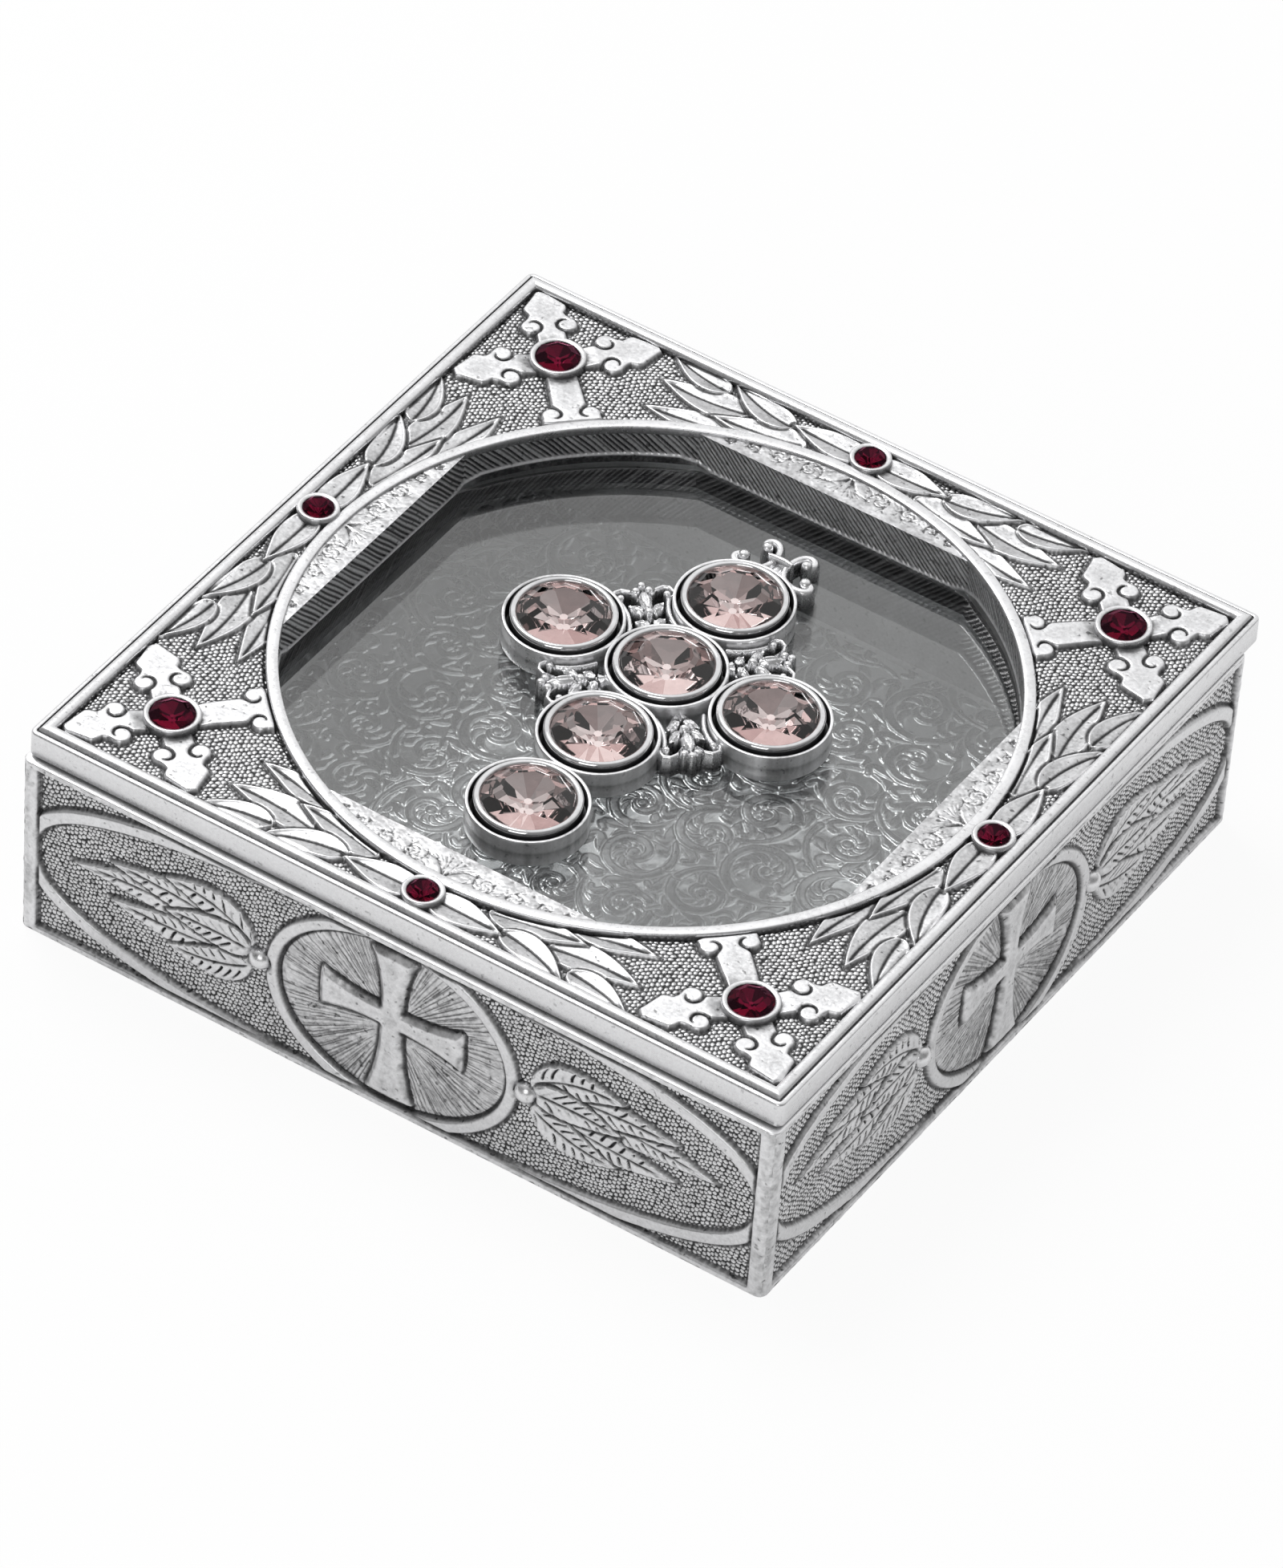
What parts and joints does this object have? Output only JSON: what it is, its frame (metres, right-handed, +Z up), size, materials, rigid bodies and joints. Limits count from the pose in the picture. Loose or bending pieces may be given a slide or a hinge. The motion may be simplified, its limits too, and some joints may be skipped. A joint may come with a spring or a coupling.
{
  "type": "rosary box",
  "caption": "Square cast metal keepsake box with a hinged glass-windowed lid, red stones and a crystal cross on the glass.",
  "frame": {"origin": "middle of the footprint, on the surface that the box stands on", "axes": "+Z up, -Y out of the front wall, which is opposite the hinge, +X to the right of someone facing the front"},
  "size_m": [0.0962, 0.0962, 0.0289],
  "materials": {
    "antique_pewter": "antiqued cast pewter, worn bright on the high spots and black in the recesses",
    "polished_silver": "polished silver-tone plating",
    "hinge_steel": "drawn steel wire",
    "window_glass": "clear flat glass",
    "rose_crystal": "foil-backed light rose cut crystal",
    "amethyst_red_glass": "foil-backed dark red cut glass"
  },
  "bodies": {
    "base": {"base_box": "antique_pewter", "hinge_pin_left": "hinge_steel", "hinge_pin_right": "hinge_steel"},
    "lid": {"lid_frame": "antique_pewter", "glass_pane": "window_glass", "glass_retainer": "antique_pewter", "cross_casting": "antique_pewter", "crystal_bezel_foot": "polished_silver", "crystal_bezel_shaft": "polished_silver", "crystal_bezel_centre": "polished_silver", "crystal_bezel_head": "polished_silver", "crystal_bezel_left_arm": "polished_silver", "crystal_bezel_right_arm": "polished_silver", "rose_crystal_foot": "rose_crystal", "rose_crystal_shaft": "rose_crystal", "rose_crystal_centre": "rose_crystal", "rose_crystal_head": "rose_crystal", "rose_crystal_left_arm": "rose_crystal", "rose_crystal_right_arm": "rose_crystal", "corner_stone_back_right": "amethyst_red_glass", "corner_stone_back_left": "amethyst_red_glass", "corner_stone_front_left": "amethyst_red_glass", "corner_stone_front_right": "amethyst_red_glass", "side_stone_back": "amethyst_red_glass", "side_stone_left": "amethyst_red_glass", "side_stone_front": "amethyst_red_glass", "side_stone_right": "amethyst_red_glass"}
  },
  "joints": [
    {"name": "lid_hinge", "type": "hinge", "parent": "base", "child": "lid", "pos_m": [0, 0.04592, 0.02415], "axis": [-1, 0, 0], "range_deg": [0, 100]}
  ]
}
